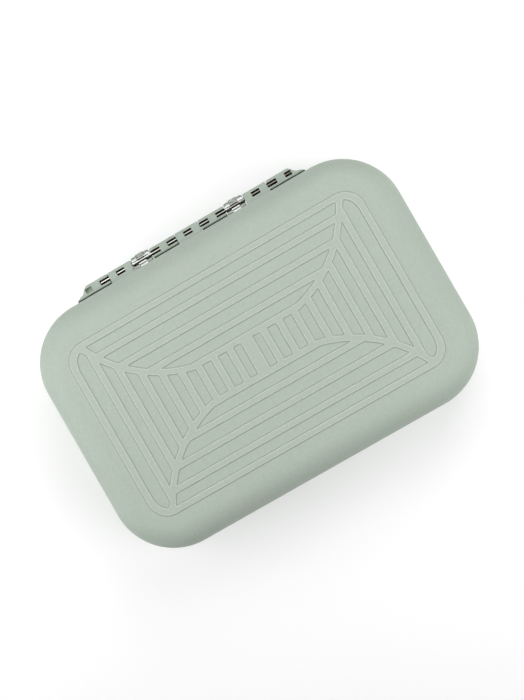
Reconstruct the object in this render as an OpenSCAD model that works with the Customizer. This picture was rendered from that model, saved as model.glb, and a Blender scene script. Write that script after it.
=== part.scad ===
// Fly box: two moulded half shells on a long steel hinge pin, with a clear
// leaf that swings between them and slit mats that hold the flies.
// Millimetres, +Z up. The origin is the middle of the underside, the hinge
// runs along X at the back (+Y), and the case is drawn closed.

/* [Case] */
// Length of the case along its hinge
case_l = 160; // [150:1:180]
// Depth of the case from front to back, without the hinge
case_w = 106.4; // [100:0.2:124]
// Radius of the case's corners, seen from above
corner_r = 25.5; // [20:0.5:30]
// Radius of the roll-off round the top and bottom edges
edge_r = 11; // [8:0.5:12]
// Height of the base
base_h = 20; // [19:0.5:28]
// Height of the lid, without its ribs
lid_h = 19.6; // [19:0.1:28]
// Thickness of the side walls
wall = 2; // [1.8:0.1:2.6]
// Thickness of the base's floor and the lid's top
floor_t = 1.8; // [1.4:0.1:2.4]

/* [Rim] */
// Height of the locating lip on the base's rim
lip_h = 1; // [0.6:0.1:1.4]
// Thickness of the lip
lip_t = 0.8; // [0.6:0.05:1]
// Clearance between the lip and the lid
lip_clearance = 0.25; // [0.15:0.05:0.35]

/* [Relief on the lid] */
// Height of the raised ribs
rib_rise = 0.4; // [0.2:0.05:0.8]
// Width of the ribs that run front to back
rib_w = 3.15; // [2:0.05:4]
// Width of the ribs that run along the hinge
row_w = 2.9; // [2:0.05:4]
// Distance from the case's side to the border rib
relief_margin = 14.8; // [12:0.2:20]
// Outer corner radius of the border rib
border_r = 8.5; // [5:0.5:10]
// Inner corner radius of the border rib
border_inner_r = 6.4; // [4:0.2:8]
// Width of the plain rib in the middle
middle_rib_w = 5.6; // [4:0.1:8]
// Distance from the middle to the centre of the first rib
first_rib_x = 7.49; // [6.5:0.01:9]
// Distance between neighbouring ribs
rib_pitch = 6.865; // [5.5:0.005:9]
// Distance from the middle to the rib that bounds the centre strip
strip_y = 8.08; // [6:0.02:10]
// Distance between the rows that run along the hinge
row_pitch = 7.48; // [6:0.02:10]
// Radius of the curved corner ribs
mitre_r = 51.4; // [48:0.2:60]
// Width of the curved corner ribs
mitre_w = 2.83; // [2:0.01:4]
// Distance from the border's end to where a corner rib meets it
mitre_in = 8; // [6:0.1:12]
// Height above the middle at which the corner ribs level out
mitre_low = 6.5; // [5:0.1:8]

/* [Hinge] */
// Distance from the back wall to the pin's axis
hinge_offset = 3.7; // [3.5:0.1:5]
// Radius of the hinge pin
pin_r = 0.8; // [0.6:0.05:0.9]
// Radial running clearance round the pin
pin_clearance = 0.05; // [0.02:0.01:0.09]
// Wall of plastic round the pin
knuckle_wall = 1.15; // [1:0.05:1.3]
// Gap between neighbouring knuckles
knuckle_gap = 0.3; // [0.2:0.05:0.5]
// Width of a knuckle on the lid
lid_knuckle_w = 10.5; // [9:0.5:12]
// Width of the two inner knuckles on the base
base_knuckle_w = 11.6; // [11:0.2:13]
// Width of the two end knuckles on the base
end_knuckle_w = 10.2; // [10:0.2:12]
// Length of the slanted ear beside each end knuckle
ear_l = 5.8; // [4:0.2:6]
// Height of an ear above the rim
ear_top = 1.6; // [1:0.1:1.9]
// Gap between the lid and the upper half of an ear
ear_gap = 1.5; // [0.5:0.1:1.7]
// Height of the arm that carries a knuckle, where it leaves the wall
arm_h = 4.6; // [3.5:0.1:6]
// Width of the openings that show the pin
window_w = 2.2; // [2:0.05:2.4]
// Length of the openings in the base's knuckles
window_l = 4.1; // [3.5:0.1:4.4]
// Length of the openings in the lid's knuckles
lid_window_l = 3.75; // [3:0.05:5]
// Plastic left between an opening above the pin and one below it
window_land = 0.4; // [0.3:0.05:0.8]

/* [Swing leaf] */
// Thickness of the clear leaf
leaf_t = 2; // [1.6:0.1:2.4]
// Gap between the leaf's edge and the walls
leaf_gap = 1.5; // [1.2:0.1:2.5]
// Width of a knuckle on the leaf
leaf_knuckle_w = 8.5; // [8:0.1:10]
// Wall of clear plastic round the pin
leaf_knuckle_wall = 2.05; // [1.6:0.05:2.2]
// Width of each of the two arms of a leaf knuckle
leaf_arm_w = 2.5; // [2:0.1:3]
// Clearance of the notches that the leaf's arms pass through
notch_clearance = 0.4; // [0.3:0.05:0.8]
// Radius of the finger notch in the leaf's front edge
finger_r = 11; // [8:0.5:14]
// Depth of the finger notch
finger_depth = 5; // [3:0.5:5]

/* [Mats] */
// Gap between a mat and the rounded foot of the walls
mat_margin = 1.4; // [0.8:0.1:4]
// Thickness of the sheet under the ridges
mat_sheet_t = 1.6; // [1.2:0.1:2.2]
// Height of the ridges above the sheet
ridge_h = 3; // [2:0.1:3.4]
// Width of a ridge
ridge_w = 5.4; // [4:0.1:6.4]
// Distance between ridges
ridge_pitch = 9; // [8:0.5:12]
// Width of the slit along each ridge
slit_w = 0.4; // [0.3:0.05:0.8]
// Thickness of the adhesive film under each mat
film_t = 0.2; // [0.15:0.05:0.3]

/* [Magnets] */
// Radius of a closure magnet
magnet_r = 2.5; // [2:0.25:3]
// Thickness of a closure magnet
magnet_t = 2; // [1.5:0.25:3]
// Thickness of the cap that covers a magnet
cap_t = 0.5; // [0.4:0.05:0.8]
// Radial clearance of the magnets and caps in their pockets
pocket_clearance = 0.05; // [0.03:0.01:0.1]
// Wall of the bosses that hold the magnets
boss_wall = 1.6; // [1.2:0.1:2]
// Depth of the bosses below the rim
boss_h = 7; // [5:0.5:8]
// Distance of the magnets from the middle of the front
magnet_x = 46; // [36:1:50]
// Width of the two ledges that the leaf rests on
ledge_w = 12; // [8:1:16]
// Distance of the ledges from the middle of the front
ledge_x = 25; // [22:1:27]

/* [Hidden] */

$fn = 64;
tiny = 0.01;
overlap = 1;

shell_green = [0.72, 0.77, 0.71];
clear_plastic = [0.85, 0.9, 0.9, 0.4];
mat_grey = [0.42, 0.45, 0.44];
film_white = [0.9, 0.9, 0.88];
steel = [0.75, 0.75, 0.74];
nickel = [0.8, 0.79, 0.75];

// Places that several pieces share
rim_z = base_h;
back_y = case_w / 2;
hinge_y = back_y + hinge_offset;
bore_r = pin_r + pin_clearance;
knuckle_r = bore_r + knuckle_wall;
leaf_knuckle_r = bore_r + leaf_knuckle_wall;
inner_l = case_l - 2 * wall;
inner_w = case_w - 2 * wall;
inner_corner_r = corner_r - wall;
arm_root = 0.7;
// Back of an ear from its tip: shares of its length and of the knuckle's radius
ear_slant = [[1.06, -1.3], [0.95, -0.92], [0.7, -0.57], [0.45, -0.37], [0.32, -0.05], [0.2, 0.37], [0, 1]];

// Knuckle places from the middle outwards, the same on both sides
base_x = lid_knuckle_w / 2 + knuckle_gap;
leaf_x = base_x + base_knuckle_w + knuckle_gap;
lid_x = leaf_x + leaf_knuckle_w + knuckle_gap;
end_x = lid_x + lid_knuckle_w + knuckle_gap;
end_window_x = end_x + end_knuckle_w - window_l / 2 - 0.3;
end_window_l = 3;
pin_left = end_x + end_knuckle_w * 0.65;
pin_right = end_window_x + end_window_l + 0.5;

// Leaf, mats and magnets
leaf_l = inner_l - 2 * leaf_gap;
leaf_w = inner_w - 2 * leaf_gap;
leaf_corner_r = inner_corner_r - leaf_gap;
leaf_top = rim_z + leaf_t / 2;
leaf_bottom = rim_z - leaf_t / 2;
leaf_knuckle_x = leaf_x + leaf_knuckle_w / 2;
pocket_r = magnet_r + pocket_clearance;
cap_r = magnet_r + cap_t / 2;
cap_pocket_r = cap_r + pocket_clearance;
boss_r = cap_pocket_r + boss_wall;
magnet_y = -(inner_w / 2 - boss_r + boss_wall / 2);
boss_gap = 1;
foot = edge_r - wall + mat_margin;
mat_l = inner_l - 2 * foot;
mat_w = min(inner_w - 2 * foot, -2 * (magnet_y + boss_r + boss_gap));
mat_r = inner_corner_r - foot;

// Relief
relief_x = case_l / 2 - relief_margin;
relief_y = case_w / 2 - relief_margin;
relief_root = 0.6;
panel_min = 1.5;
last_rib_x = relief_x - 1.5 * rib_w - panel_min;
rib_xs = [for (x = first_rib_x; x <= last_rib_x; x = x + rib_pitch) x];
last_row_y = relief_y - 1.5 * row_w - panel_min;
first_row_y = strip_y + rib_pitch;
row_ys = [for (y = first_row_y; y <= last_row_y; y = y + row_pitch) y];
mitre_y = mitre_low + mitre_r;
mitre_drop = mitre_y - (relief_y - row_w);
mitre_x = relief_x - mitre_in - sqrt(mitre_r * mitre_r - mitre_drop * mitre_drop);

// ---- Shared shapes ----

// Rounded rectangle with true arcs
module plan(l, w, r) {
    square([l, w - 2 * r], center = true);
    square([l - 2 * r, w], center = true);
    for (x = [-1, 1], y = [-1, 1])
        translate([x * (l / 2 - r), y * (w / 2 - r)])
            circle(r = r);
}

// Quarter of a disc in the first quadrant
module quarter_disc(r) {
    intersection() {
        circle(r = r);
        square(r);
    }
}

// Side of a block from its inside at x = 0 to its rolled edge at x = reach
module rolled_side(reach, h, r, skirt) {
    translate([0, -skirt])
        square([reach, h - r + skirt]);
    translate([0, -skirt])
        square([reach - r, h + skirt]);
    translate([reach - r, h - r])
        quarter_disc(r);
}

// Block on z = 0 with round corners and a rolled top edge; the skirt reaches below z = 0
module rolled_block(l, w, h, corner, edge, skirt = 0) {
    for (side = [0, 1]) {
        span = side == 0 ? l - 2 * corner : w - 2 * corner;
        reach = side == 0 ? w / 2 : l / 2;
        for (turn = [0, 180])
            rotate(90 * side + turn)
                rotate([90, 0, 90])
                    linear_extrude(span, center = true)
                        rolled_side(reach, h, edge, skirt);
    }
    for (quadrant = [0 : 3]) {
        sx = quadrant == 0 || quadrant == 3 ? 1 : -1;
        sy = quadrant < 2 ? 1 : -1;
        translate([sx * (l / 2 - corner), sy * (w / 2 - corner), 0])
            rotate(90 * quadrant)
                rotate_extrude(angle = 90)
                    rolled_side(corner, h, edge, skirt);
    }
}

// One moulded half, open at z = 0 and closed at z = h
module half_shell(h) {
    difference() {
        rolled_block(case_l, case_w, h, corner_r, edge_r);
        rolled_block(inner_l, inner_w, h - floor_t, inner_corner_r, edge_r - wall, overlap);
    }
}

// Cylinder along X, centred on the hinge axis
module hinge_rod(x, length, r) {
    translate([x, hinge_y, rim_z])
        rotate([0, 90, 0])
            cylinder(r = r, h = length);
}

// Opening that shows the pin: side is 1 above the pin and -1 below it
module pin_window(x, length, side) {
    depth = leaf_knuckle_r + overlap;
    translate([x, hinge_y - window_w / 2, side > 0 ? rim_z : rim_z - depth])
        cube([length, window_w, depth]);
}

// Knuckle with the arm that joins it to the back wall: side is 1 on the lid, -1 on the base
module knuckle(x, length, side) {
    hinge_rod(x, length, knuckle_r);
    translate([x, hinge_y, rim_z])
        rotate([90, 0, 90])
            linear_extrude(length)
                polygon([[-(hinge_offset + arm_root), 0],
                    [-(hinge_offset + arm_root), side * arm_h],
                    [0, side * knuckle_r],
                    [0, 0]]);
}

// Slanted ear beside an end knuckle of the base; its upper half stands clear of the lid
module ear(x) {
    reach = hinge_offset + arm_root;
    for (upper = [false, true]) {
        front = upper ? ear_gap - hinge_offset : -reach;
        first = upper ? 1 : 0;
        slant = [for (i = [first : len(ear_slant) - 1])
            [ear_l * ear_slant[i][0], knuckle_r * ear_slant[i][1]]];
        translate([x, hinge_y, upper ? rim_z : rim_z - knuckle_r])
            linear_extrude(upper ? ear_top : knuckle_r)
                polygon(concat([[-overlap, front], [slant[0].x, front]], slant, [[-overlap, knuckle_r]]));
    }
}

// Notch in a rear wall for the leaf's arms: from the rim to beyond the leaf's face
module leaf_notches(z_low, z_high) {
    w = leaf_knuckle_w + 2 * notch_clearance;
    for (s = [-1, 1])
        translate([s * leaf_knuckle_x - w / 2, inner_w / 2 - overlap, z_low])
            cube([w, wall + 2 * overlap, z_high - z_low]);
}

// Copies its child at both magnets, in the front of the case
module at_magnets() {
    for (s = [-1, 1])
        translate([s * magnet_x, magnet_y, rim_z])
            children();
}

// Boss that holds a magnet, hanging from the rim and joined to the front wall
module magnet_boss() {
    web_y = -(inner_w / 2 + wall / 2) - magnet_y;
    translate([0, 0, -boss_h])
        cylinder(r = boss_r, h = boss_h);
    translate([-boss_r, web_y, -boss_h])
        cube([2 * boss_r, -web_y, boss_h]);
}

// Pocket for a magnet and its cap, open at the rim
module magnet_pocket() {
    translate([0, 0, -cap_t - magnet_t])
        cylinder(r = pocket_r, h = magnet_t + cap_t + overlap);
    translate([0, 0, -cap_t])
        cylinder(r = cap_pocket_r, h = cap_t + overlap);
}

module magnet_disc() {
    translate([0, 0, -cap_t - magnet_t])
        cylinder(r = magnet_r, h = magnet_t);
}

module magnet_cap() {
    translate([0, 0, -cap_t])
        cylinder(r = cap_r, h = cap_t - tiny);
}

// Mirrors its children in the plane of the rim
module flipped_at_rim() {
    translate([0, 0, rim_z])
        mirror([0, 0, 1])
            translate([0, 0, -rim_z])
                children();
}

// Section of a mat: a sheet with rounded ridges, each with a slit along its top
module ridge_section() {
    chamfer = ridge_h * 0.3;
    slit_depth = ridge_h * 0.8;
    root = mat_sheet_t / 2;
    polygon([[-ridge_w / 2, -root],
        [-ridge_w / 2, ridge_h - chamfer],
        [-ridge_w / 2 + chamfer, ridge_h],
        [-slit_w / 2, ridge_h],
        [-slit_w / 2, ridge_h - slit_depth],
        [slit_w / 2, ridge_h - slit_depth],
        [slit_w / 2, ridge_h],
        [ridge_w / 2 - chamfer, ridge_h],
        [ridge_w / 2, ridge_h - chamfer],
        [ridge_w / 2, -root]]);
}

// Slit mat lying on z = 0 with its ridges up
module slit_mat() {
    ridges = floor((mat_w - ridge_w) / ridge_pitch / 2);
    linear_extrude(mat_sheet_t)
        plan(mat_l, mat_w, mat_r);
    intersection() {
        linear_extrude(mat_sheet_t + ridge_h + overlap)
            plan(mat_l, mat_w, mat_r);
        for (i = [-ridges : ridges])
            translate([0, i * ridge_pitch, mat_sheet_t])
                rotate([90, 0, 90])
                    linear_extrude(mat_l + overlap, center = true)
                        ridge_section();
    }
}

// Adhesive film lying on z = 0
module mat_film() {
    linear_extrude(film_t)
        plan(mat_l, mat_w, mat_r);
}

// The ribs on the lid, seen from above
module relief_pattern() {
    difference() {
        plan(2 * relief_x, 2 * relief_y, border_r);
        plan(2 * (relief_x - rib_w), 2 * (relief_y - row_w), border_inner_r);
    }
    intersection() {
        plan(2 * relief_x - rib_w, 2 * relief_y - row_w, border_r - row_w / 2);
        union() {
            rib_columns();
            rib_rows();
            mitre_ribs();
        }
    }
}

// Copies its child into all four quarters of the pattern
module in_each_quarter() {
    for (x = [0, 1], y = [0, 1])
        mirror([x, 0])
            mirror([0, y])
                children();
}

module mitre_discs(r) {
    in_each_quarter()
        translate([mitre_x, mitre_y])
            circle(r = r);
}

// Ribs that run front to back, between the curved corner ribs
module rib_columns() {
    difference() {
        union() {
            square([middle_rib_w, 2 * relief_y], center = true);
            for (x = rib_xs, s = [-1, 1])
                translate([s * x, 0])
                    square([rib_w, 2 * relief_y], center = true);
        }
        mitre_discs(mitre_r);
    }
}

// Ribs that run along the hinge, inside the curves of the corner ribs
module rib_rows() {
    intersection() {
        for (y = concat([strip_y], row_ys), s = [-1, 1])
            translate([0, s * y])
                square([2 * relief_x, row_w], center = true);
        mitre_discs(mitre_r);
    }
}

// The curved corner ribs
module mitre_ribs() {
    strip_edge = strip_y - row_w / 2;
    in_each_quarter()
        intersection() {
            translate([mitre_x, mitre_y])
                difference() {
                    circle(r = mitre_r + mitre_w / 2);
                    circle(r = mitre_r - mitre_w / 2);
                }
            translate([mitre_x, strip_edge])
                square([relief_x, relief_y]);
        }
}

// ---- Pieces ----

module base_shell() {
    color(shell_green)
        difference() {
            union() {
                translate([0, 0, rim_z])
                    mirror([0, 0, 1])
                        half_shell(base_h);
                translate([0, 0, rim_z - overlap])
                    linear_extrude(overlap + lip_h)
                        difference() {
                            plan(inner_l + 2 * lip_t, inner_w + 2 * lip_t, inner_corner_r + lip_t);
                            plan(inner_l, inner_w, inner_corner_r);
                        }
                at_magnets()
                    magnet_boss();
                for (s = [-1, 1])
                    translate([s * ledge_x - ledge_w / 2, -inner_w / 2 - wall / 2, leaf_bottom - boss_h / 2])
                        cube([ledge_w, leaf_gap * 2.5 + wall / 2, boss_h / 2 - 0.05]);
                for (s = [0, 1])
                    mirror([s, 0, 0]) {
                        knuckle(base_x, base_knuckle_w, -1);
                        knuckle(end_x, end_knuckle_w, -1);
                        ear(end_x + end_knuckle_w);
                    }
            }
            hinge_rod(-pin_left - 0.4, pin_left + 0.4 + end_x + end_knuckle_w + ear_l + overlap, bore_r);
            for (s = [0, 1])
                mirror([s, 0, 0]) {
                    pin_window(base_x - tiny, window_l, 1);
                    pin_window(base_x + base_knuckle_w - window_l, window_l + tiny, 1);
                    pin_window(base_x + window_l + window_land,
                        base_knuckle_w - 2 * (window_l + window_land), -1);
                    pin_window(end_x - tiny, window_l, 1);
                    pin_window(end_window_x, end_window_l, 1);
                    pin_window(end_x + window_l + window_land,
                        end_window_x - end_x - window_l - 2 * window_land, -1);
                }
            leaf_notches(leaf_bottom - notch_clearance, rim_z + lip_h + overlap);
            at_magnets()
                magnet_pocket();
        }
}

module lid_shell() {
    color(shell_green)
        difference() {
            union() {
                difference() {
                    translate([0, 0, rim_z])
                        half_shell(lid_h);
                    translate([0, 0, rim_z - overlap])
                        linear_extrude(overlap + lip_h + lip_clearance)
                            plan(inner_l + 2 * (lip_t + lip_clearance),
                                inner_w + 2 * (lip_t + lip_clearance),
                                inner_corner_r + lip_t + lip_clearance);
                }
                translate([0, 0, rim_z + lid_h - relief_root])
                    linear_extrude(relief_root + rib_rise)
                        relief_pattern();
                flipped_at_rim()
                    at_magnets()
                        lid_boss();
                knuckle(-lid_knuckle_w / 2, lid_knuckle_w, 1);
                for (s = [0, 1])
                    mirror([s, 0, 0])
                        knuckle(lid_x, lid_knuckle_w, 1);
            }
            hinge_rod(-end_x, 2 * end_x, bore_r);
            for (x = [-lid_x - lid_knuckle_w, -lid_knuckle_w / 2, lid_x])
                lid_windows(x);
            leaf_notches(rim_z - overlap, leaf_top + notch_clearance);
            flipped_at_rim()
                at_magnets()
                    magnet_pocket();
        }
}

// Magnet boss of the lid, cut back where the base's lip passes
module lid_boss() {
    difference() {
        magnet_boss();
        translate([-2 * boss_r, -inner_w / 2 - wall - magnet_y, -lip_h - lip_clearance])
            cube([4 * boss_r, wall, lip_h + lip_clearance + overlap]);
    }
}

// Opening above the pin in the middle of a lid knuckle, and one below it at each end
module lid_windows(x) {
    side_l = (lid_knuckle_w - lid_window_l) / 2;
    pin_window(x + side_l, lid_window_l, 1);
    pin_window(x - tiny, side_l - window_land, -1);
    pin_window(x + lid_knuckle_w - side_l + window_land, side_l, -1);
}

module hinge_pin() {
    color(steel)
        hinge_rod(-pin_left, pin_left + pin_right, pin_r);
}

module swing_leaf() {
    color(clear_plastic)
        difference() {
            union() {
                translate([0, 0, leaf_bottom])
                    linear_extrude(leaf_t)
                        plan(leaf_l, leaf_w, leaf_corner_r);
                for (s = [0, 1])
                    mirror([s, 0, 0]) {
                        translate([leaf_x, leaf_w / 2 - overlap, leaf_bottom])
                            cube([leaf_knuckle_w, hinge_y - leaf_w / 2 + overlap, leaf_t]);
                        hinge_rod(leaf_x, leaf_knuckle_w, leaf_knuckle_r);
                    }
            }
            hinge_rod(-case_l / 2, case_l, bore_r);
            for (s = [-1, 1])
                translate([s * leaf_knuckle_x - leaf_knuckle_w / 2 + leaf_arm_w, leaf_w / 2,
                    rim_z - 2 * leaf_knuckle_r])
                    cube([leaf_knuckle_w - 2 * leaf_arm_w,
                        hinge_y + window_w / 2 - leaf_w / 2, 4 * leaf_knuckle_r]);
            at_magnets()
                translate([0, 0, -leaf_t])
                    leaf_boss_notch();
            translate([0, -leaf_w / 2 - finger_r + finger_depth, leaf_bottom - overlap])
                cylinder(r = finger_r, h = leaf_t + 2 * overlap);
        }
}

// Cut-out in the leaf's front edge round a magnet boss
module leaf_boss_notch() {
    r = boss_r + boss_gap;
    cylinder(r = r, h = 2 * leaf_t);
    translate([-r, -2 * r, 0])
        cube([2 * r, 2 * r, 2 * leaf_t]);
}

module base_mat_film() {
    color(film_white)
        translate([0, 0, floor_t])
            mat_film();
}

module base_mat() {
    color(mat_grey)
        translate([0, 0, floor_t + film_t])
            slit_mat();
}

module lid_mat_film() {
    color(film_white)
        translate([0, 0, rim_z + lid_h - floor_t])
            mirror([0, 0, 1])
                mat_film();
}

module lid_mat() {
    color(mat_grey)
        translate([0, 0, rim_z + lid_h - floor_t - film_t])
            mirror([0, 0, 1])
                slit_mat();
}

module leaf_upper_film() {
    color(film_white)
        translate([0, 0, leaf_top])
            mat_film();
}

module leaf_upper_mat() {
    color(mat_grey)
        translate([0, 0, leaf_top + film_t])
            slit_mat();
}

module leaf_lower_film() {
    color(film_white)
        flipped_at_rim()
            leaf_upper_film();
}

module leaf_lower_mat() {
    color(mat_grey)
        flipped_at_rim()
            leaf_upper_mat();
}

module base_magnets() {
    color(nickel)
        at_magnets()
            magnet_disc();
}

module base_magnet_caps() {
    color(shell_green)
        at_magnets()
            magnet_cap();
}

module lid_magnets() {
    color(nickel)
        flipped_at_rim()
            at_magnets()
                magnet_disc();
}

module lid_magnet_caps() {
    color(shell_green)
        flipped_at_rim()
            at_magnets()
                magnet_cap();
}

base_shell();
lid_shell();
hinge_pin();
swing_leaf();
base_mat();
base_mat_film();
lid_mat();
lid_mat_film();
leaf_upper_mat();
leaf_upper_film();
leaf_lower_mat();
leaf_lower_film();
base_magnets();
base_magnet_caps();
lid_magnets();
lid_magnet_caps();
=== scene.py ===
import math

import bpy
from mathutils import Matrix, Vector
from mathutils.geometry import delaunay_2d_cdt


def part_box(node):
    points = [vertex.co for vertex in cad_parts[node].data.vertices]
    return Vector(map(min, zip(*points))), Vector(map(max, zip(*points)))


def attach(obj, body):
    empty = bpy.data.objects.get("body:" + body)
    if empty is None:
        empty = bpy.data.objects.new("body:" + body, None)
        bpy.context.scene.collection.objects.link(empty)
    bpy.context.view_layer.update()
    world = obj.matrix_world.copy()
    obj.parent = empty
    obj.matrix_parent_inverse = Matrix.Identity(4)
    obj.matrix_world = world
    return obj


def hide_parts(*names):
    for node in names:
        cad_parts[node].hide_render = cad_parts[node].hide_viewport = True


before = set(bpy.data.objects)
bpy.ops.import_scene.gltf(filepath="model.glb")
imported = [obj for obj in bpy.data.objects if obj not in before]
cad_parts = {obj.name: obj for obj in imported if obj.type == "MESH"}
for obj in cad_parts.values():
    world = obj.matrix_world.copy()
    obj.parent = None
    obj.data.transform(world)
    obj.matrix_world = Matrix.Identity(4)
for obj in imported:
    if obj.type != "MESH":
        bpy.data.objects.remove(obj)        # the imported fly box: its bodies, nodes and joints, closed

# Lengths below are millimetres; MM turns them into Blender's metres.
MM = 0.001


def in_mm(box):
    """A box's lowest and highest corner, in millimetres."""
    return [[c / MM for c in corner] for corner in box]


# ---- The case, from the frame ----
LID_BOX = in_mm(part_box("lid_shell"))
PIN_BOX = in_mm(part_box("hinge_pin"))
LEAF_BOX = in_mm(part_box("swing_leaf"))
CASE_L = LID_BOX[1][0] - LID_BOX[0][0]
CASE_W = -2 * LID_BOX[0][1]
PIN_R = (PIN_BOX[1][2] - PIN_BOX[0][2]) / 2
RIM_Z = (PIN_BOX[1][2] + PIN_BOX[0][2]) / 2
HINGE_Y = (PIN_BOX[1][1] + PIN_BOX[0][1]) / 2

# ---- Sizes that the frame doesn't give ----
# shells
CORNER_R = 25.5
EDGE_R = 11
WALL = 2
FLOOR_T = 1.8
RIB_RISE = 0.4
LID_H = LID_BOX[1][2] - RIM_Z - RIB_RISE
BASE_H = RIM_Z
LIP_H = 1
LIP_T = 0.8
LIP_CLEARANCE = 0.25
RIM_FILLET = 0.25
RIM_GAP = 0.13            # half of the fine shadow gap between the closed shells
RIM_GAP_DEPTH = 0.65

# the lid's relief; both margins and the shift are the photo's, and the CAD has 14.8 and none
RIB_W = 3.15
ROW_W = 2.9
RELIEF_MARGIN_X = 14.75
RELIEF_MARGIN_Y = 15.05
BORDER_R = 8.5
BORDER_INNER_R = 6.4
MIDDLE_RIB_W = 5.6
FIRST_RIB_X = 7.49
RIB_PITCH = 6.865
RIB_COUNT = 8
STRIP_Y = 8.08
ROW_PITCH = 7.48
ROW_COUNT = 3
MITRE_R = 51.4
MITRE_W = 2.83
MITRE_X = 10.94
MITRE_LOW = 6.5
RIB_FOOT_W = 0.4
RIB_EDGE_W = 0.45
PANEL_CORNER = 0.25
RELIEF_SHIFT_Y = 0.22

# hinge
HINGE_OFFSET = HINGE_Y - CASE_W / 2
BORE_R = PIN_R + 0.05
BLIND_GAP = 0.4
KNUCKLE_R = 2
KNUCKLE_GAP = 0.3
KNUCKLE_CORNER = 0.6
KNUCKLE_EDGE = 0.2
LID_KNUCKLE_W = 10.5
BASE_KNUCKLE_W = 11.6
END_KNUCKLE_W = 10.2
EAR_L = 5.8
EAR_TOP = 1.6
EAR_CLEAR = 2.15
ARM_H = 4.6
ARM_ROOT = 0.7
EAR_STEP = -0.25
EAR_EDGE = 0.15
EAR_TOP_EDGE = 0.3
WINDOW_W = 2.05           # this and the shift are the photo's, and the CAD has 2.2 and none
WINDOW_SHIFT = -0.2
WINDOW_L = 4.1
LID_WINDOW_L = 3.75
WINDOW_LAND = 0.4
END_WINDOW_L = 3
END_WINDOW_INSET = 0.3

# leaf
LEAF_T = 2
LEAF_GAP = 1.5
LEAF_EDGE = 0.3
LEAF_CORNER = 1
LEAF_KNUCKLE_W = 8.5
LEAF_KNUCKLE_R = LEAF_BOX[1][2] - RIM_Z
LEAF_ARM_W = 2.5
STRAP_EDGE = 0.25
NOSE_ROUND = 0.9
NOSE_END_R = 2.5
NOSE_STEP = 0.15
WEB_END = 1.45
NOTCH_CLEARANCE = 0.4
NOTCH_RISE = 3
FINGER_R = 11
FINGER_DEPTH = 5

# magnets, their bosses, and the ledges under the leaf
MAGNET_X = 46
MAGNET_R = 2.5
CAP_T = 0.5
CAP_EDGE = 0.12
BOSS_WALL = 1.6
BOSS_H = 7
BOSS_GAP = 1
BOSS_EDGE = 0.25
BOSS_WEB_EDGE = 0.2
BASE_WEB_DROP = 0.02      # how far a boss's web to the wall stays below its face
LID_WEB_DROP = LIP_H + LIP_CLEARANCE + 0.1
POCKET_CLEARANCE = 0.05
POCKET_EDGE = 0.08
POCKET_SPARE = 0.1
LEDGE_W = 12
LEDGE_X = 25
LEDGE_REACH = 2.5 * LEAF_GAP
LEDGE_H = BOSS_H / 2
LEDGE_CLEARANCE = 0.05
LEDGE_CORNER = 0.8
LEDGE_EDGE = 0.3

# mats
MAT_MARGIN = 1.4
MAT_SHEET_T = 1.6
MAT_EDGE = 0.3
RIDGE_H = 3
RIDGE_W = 5.4
RIDGE_PITCH = 9
RIDGE_INSET = 0.15
RIDGE_EDGE = 0.35
SLIT_W = 0.4

# ---- Worked out from them ----
BASE_X = LID_KNUCKLE_W / 2 + KNUCKLE_GAP
LEAF_X = BASE_X + BASE_KNUCKLE_W + KNUCKLE_GAP
LID_X = LEAF_X + LEAF_KNUCKLE_W + KNUCKLE_GAP
END_X = LID_X + LID_KNUCKLE_W + KNUCKLE_GAP
EAR_X = END_X + END_KNUCKLE_W
END_WINDOW_X = EAR_X - WINDOW_L / 2 - END_WINDOW_INSET
WINDOW_REACH = LEAF_KNUCKLE_R + 3
INNER_W = CASE_W - 2 * WALL
LEAF_BOTTOM = RIM_Z - LEAF_T / 2
CAP_R = MAGNET_R + CAP_T / 2
CAP_POCKET_R = CAP_R + POCKET_CLEARANCE
BOSS_R = CAP_POCKET_R + BOSS_WALL
MAGNET_Y = -(INNER_W / 2 - BOSS_R + BOSS_WALL / 2)
RELIEF_X = CASE_L / 2 - RELIEF_MARGIN_X
RELIEF_Y = CASE_W / 2 - RELIEF_MARGIN_Y
MITRE_Y = MITRE_LOW + MITRE_R
MAT_CORNER_R = CORNER_R - EDGE_R - MAT_MARGIN

# ---- How finely shapes are drawn ----
CORNER_STEPS = 28
ROLL_STEPS = 18
CAVITY_STEPS = 12
EDGE_STEPS = 3
CURVE_STEPS = 4
CURVE_SHARE = 0.45        # the most of a side that the curve at one of its corners takes
NOTCH_STEPS = 20
BORE_STEPS = 40
LATHE_STEPS = 48
PANEL_STEP = 0.8
OVERLAP = 1               # how far a solid runs into the next one, or a cutter past what it cuts
WELD = 4                  # decimals of a millimetre at which points are the same


# ---- Outlines: closed lists of (x, y), anticlockwise ----

def arc(cx, cy, r, start, end, steps):
    """Points along an arc, both ends included; angles in degrees."""
    turn = [math.radians(start + (end - start) * i / steps) for i in range(steps + 1)]
    return [(cx + r * math.cos(a), cy + r * math.sin(a)) for a in turn]


def rounded_rect(half_x, half_y, r):
    """Rounded rectangle; every one has as many points."""
    points = []
    for sx, sy, start in ((1, -1, -90), (1, 1, 0), (-1, 1, 90), (-1, -1, 180)):
        points += arc(sx * (half_x - r), sy * (half_y - r), r, start, start + 90, CORNER_STEPS)
    return points


def case_ring(inset):
    """The case's outline, drawn in by inset."""
    return rounded_rect(CASE_L / 2 - inset, CASE_W / 2 - inset, CORNER_R - inset)


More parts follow.
